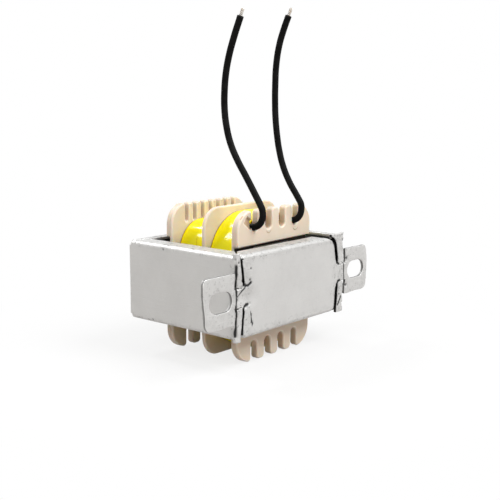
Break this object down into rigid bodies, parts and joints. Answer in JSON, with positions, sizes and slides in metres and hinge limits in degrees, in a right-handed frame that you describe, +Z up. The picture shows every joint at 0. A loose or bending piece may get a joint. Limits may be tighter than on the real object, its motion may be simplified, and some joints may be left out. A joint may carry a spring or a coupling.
{
  "type": "transformer",
  "caption": "Small open-frame mains transformer: a laminated core in a folded tinned frame with slotted mounting ears, a cream split bobbin, yellow taped windings and black flying leads.",
  "frame": {"origin": "middle of the footprint, level with the lower edges of the bobbin's flanges", "axes": "+X along the base plate from ear to ear, +Y from the base plate to the back along the coil's axis, +Z up through the stack of sheets"},
  "size_m": [0.0638, 0.0348, 0.0836],
  "materials": {
    "tinplate": "satin tinned sheet",
    "core_steel": "dark varnished",
    "nylon": "moulded satin",
    "copper": "enamelled wire",
    "tape": "glossy film",
    "lead_jacket": "soft satin",
    "tinned_strands": "tinned"
  },
  "bodies": {
    "root": {"base_plate": "tinplate", "u_strap": "tinplate", "e_sheets_front": "core_steel", "e_sheets_back": "core_steel", "i_sheets_front": "core_steel", "i_sheets_back": "core_steel", "bobbin": "nylon", "front_winding": "copper", "rear_winding": "copper", "front_tape": "tape", "rear_tape": "tape", "left_lead": "lead_jacket", "right_lead": "lead_jacket", "tinned_ends": "tinned_strands"}
  },
  "joints": []
}
